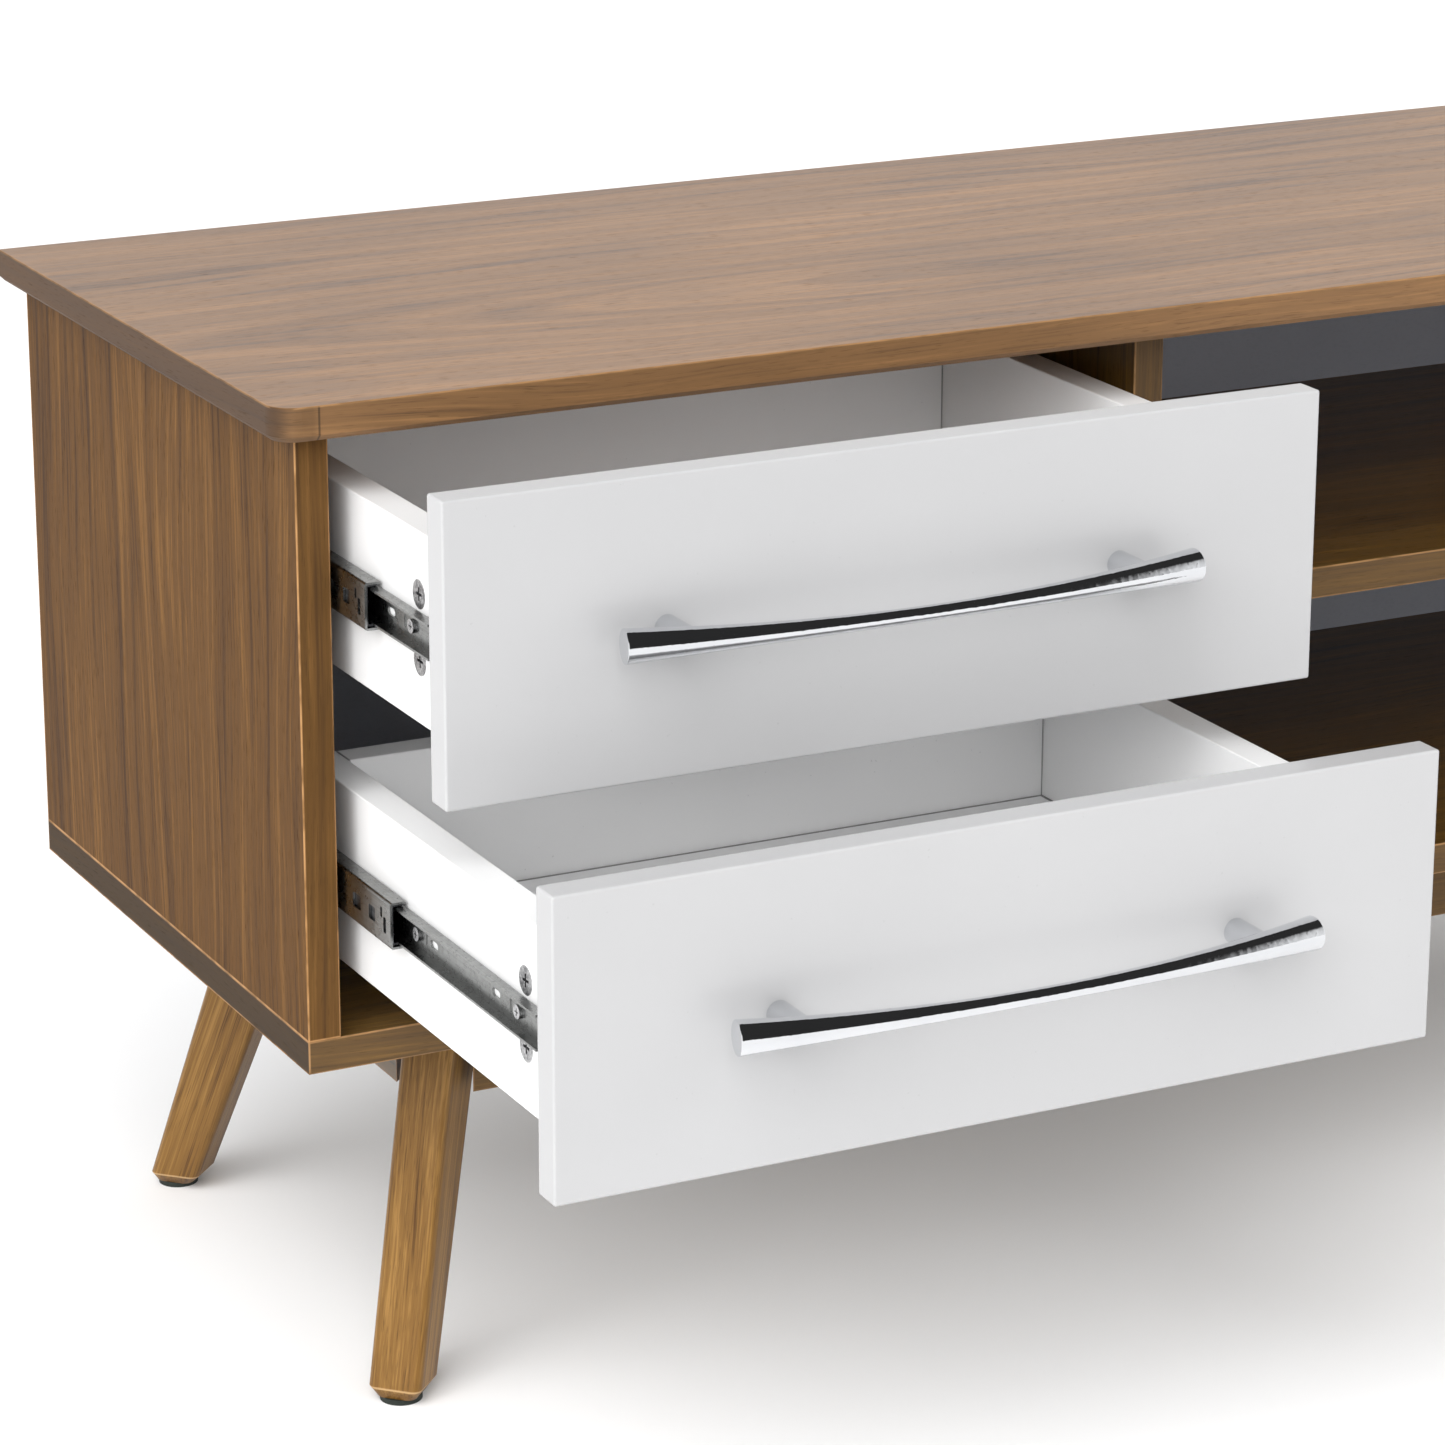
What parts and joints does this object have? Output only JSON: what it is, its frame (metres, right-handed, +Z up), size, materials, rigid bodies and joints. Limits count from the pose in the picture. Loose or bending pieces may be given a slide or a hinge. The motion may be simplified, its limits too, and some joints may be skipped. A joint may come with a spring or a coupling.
{
  "type": "console television cabinet",
  "caption": "Low console television cabinet in two-tone wood: drawers with bowed bar handles beside an open bay with a shelf, on splayed tapered legs.",
  "frame": {"origin": "on the floor, under the middle of the outline as stored, with the drawers partly pulled out", "axes": "+X along the cabinet towards the open bay, -Y out of the front, +Z up"},
  "size_m": [1.2, 0.691, 0.563],
  "materials": {
    "walnut_veneer": "satin lacquered walnut veneer on 18 mm board",
    "walnut_rail": "satin walnut veneer on 18 mm board",
    "back_board": "matte grey hardboard",
    "golden_wood": "satin lacquered solid wood, golden brown",
    "glide_pad": "matte",
    "white_lacquer": "satin white lacquer on board",
    "drawer_floor_board": "matte white foil on hardboard",
    "chrome_handle": "polished",
    "runner_zinc": "zinc plated, satin",
    "ball_cage": "zinc plated, dull",
    "cam_zinc": "cast zinc, mottled",
    "screw_steel": "zinc plated"
  },
  "bodies": {
    "cabinet": {"top_board": "walnut_veneer", "bottom_board": "walnut_veneer", "left_side_panel": "walnut_veneer", "right_side_panel": "walnut_veneer", "divider_panel": "walnut_veneer", "shelf_board": "walnut_veneer", "front_rail": "walnut_rail", "back_rail": "walnut_rail", "left_rail": "walnut_rail", "right_rail": "walnut_rail", "back_panel": "back_board", "front_left_leg": "golden_wood", "front_right_leg": "golden_wood", "rear_left_leg": "golden_wood", "rear_right_leg": "golden_wood", "leg_glides": "glide_pad", "back_panel_screws": "screw_steel", "cabinet_runner_screws": "screw_steel", "upper_left_cabinet_runner": "runner_zinc", "upper_right_cabinet_runner": "runner_zinc", "lower_left_cabinet_runner": "runner_zinc", "lower_right_cabinet_runner": "runner_zinc"},
    "upper_left_middle_slide": {"upper_left_middle_runner": "runner_zinc", "upper_left_ball_cage": "ball_cage"},
    "upper_right_middle_slide": {"upper_right_middle_runner": "runner_zinc", "upper_right_ball_cage": "ball_cage"},
    "upper_drawer": {"upper_drawer_front": "white_lacquer", "upper_drawer_left_wall": "white_lacquer", "upper_drawer_right_wall": "white_lacquer", "upper_drawer_back_wall": "white_lacquer", "upper_drawer_floor": "drawer_floor_board", "upper_handle": "chrome_handle", "upper_handle_screws": "screw_steel", "upper_drawer_runner_screws": "screw_steel", "upper_cam_locks": "cam_zinc", "upper_left_drawer_runner": "runner_zinc", "upper_right_drawer_runner": "runner_zinc"},
    "lower_left_middle_slide": {"lower_left_middle_runner": "runner_zinc", "lower_left_ball_cage": "ball_cage"},
    "lower_right_middle_slide": {"lower_right_middle_runner": "runner_zinc", "lower_right_ball_cage": "ball_cage"},
    "lower_drawer": {"lower_drawer_front": "white_lacquer", "lower_drawer_left_wall": "white_lacquer", "lower_drawer_right_wall": "white_lacquer", "lower_drawer_back_wall": "white_lacquer", "lower_drawer_floor": "drawer_floor_board", "lower_handle": "chrome_handle", "lower_handle_screws": "screw_steel", "lower_drawer_runner_screws": "screw_steel", "lower_cam_locks": "cam_zinc", "lower_left_drawer_runner": "runner_zinc", "lower_right_drawer_runner": "runner_zinc"}
  },
  "joints": [
    {"name": "upper_drawer_slide", "type": "slide", "parent": "cabinet", "child": "upper_drawer", "axis": [0, -1, 0], "range_m": [-0.134, 0.166]},
    {"name": "upper_left_middle_slide_travel", "type": "slide", "parent": "cabinet", "child": "upper_left_middle_slide", "axis": [0, -1, 0], "range_m": [-0.0648, 0.0802]},
    {"name": "upper_right_middle_slide_travel", "type": "slide", "parent": "cabinet", "child": "upper_right_middle_slide", "axis": [0, -1, 0], "range_m": [-0.0648, 0.0802]},
    {"name": "lower_drawer_slide", "type": "slide", "parent": "cabinet", "child": "lower_drawer", "axis": [0, -1, 0], "range_m": [-0.254, 0.046]},
    {"name": "lower_left_middle_slide_travel", "type": "slide", "parent": "cabinet", "child": "lower_left_middle_slide", "axis": [0, -1, 0], "range_m": [-0.0894, 0.0166]},
    {"name": "lower_right_middle_slide_travel", "type": "slide", "parent": "cabinet", "child": "lower_right_middle_slide", "axis": [0, -1, 0], "range_m": [-0.0894, 0.0166]}
  ],
  "couplings": [
    {"joint": "upper_left_middle_slide_travel", "follows": "upper_drawer_slide", "ratio": 0.48},
    {"joint": "upper_right_middle_slide_travel", "follows": "upper_drawer_slide", "ratio": 0.48},
    {"joint": "lower_left_middle_slide_travel", "follows": "lower_drawer_slide", "ratio": 0.35},
    {"joint": "lower_right_middle_slide_travel", "follows": "lower_drawer_slide", "ratio": 0.35}
  ]
}
